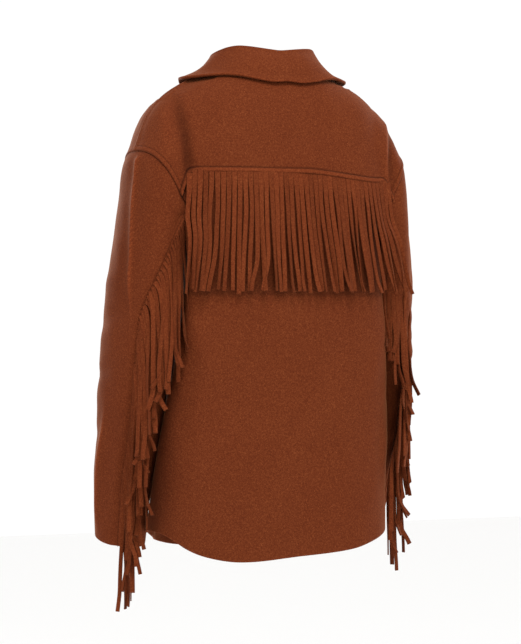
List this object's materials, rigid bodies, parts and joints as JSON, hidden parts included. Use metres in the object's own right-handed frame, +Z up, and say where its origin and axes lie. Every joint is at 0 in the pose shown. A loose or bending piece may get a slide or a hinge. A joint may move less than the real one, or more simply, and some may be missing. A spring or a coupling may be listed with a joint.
{
  "type": "fringed wool shirt-jacket",
  "caption": "Oversized felted wool shirt-jacket, worn hollow, with a turn-down collar, fringed back yoke and fringed sleeves.",
  "frame": {"origin": "middle of the neck base, level with the back neck seam, where the wearer's shoulders and neck hold the jacket up", "axes": "+Z up, +Y towards the wearer's back, +X towards the wearer's left"},
  "size_m": [0.4674, 0.2705, 0.8083],
  "materials": {
    "wool": "rust-brown felted double-faced wool, matt with a short nap",
    "horn": "dark brown horn-coloured buttons, satin"
  },
  "bodies": {
    "root": {"back_yoke": "wool", "back_panel": "wool", "front_left": "wool", "front_right": "wool", "collar": "wool", "sleeve_left_top": "wool", "sleeve_left_under": "wool", "sleeve_right_top": "wool", "sleeve_right_under": "wool", "back_fringe": "wool", "sleeve_fringe_left": "wool", "sleeve_fringe_right": "wool", "button_1": "horn", "button_2": "horn", "button_3": "horn", "button_4": "horn", "button_5": "horn"}
  },
  "joints": []
}
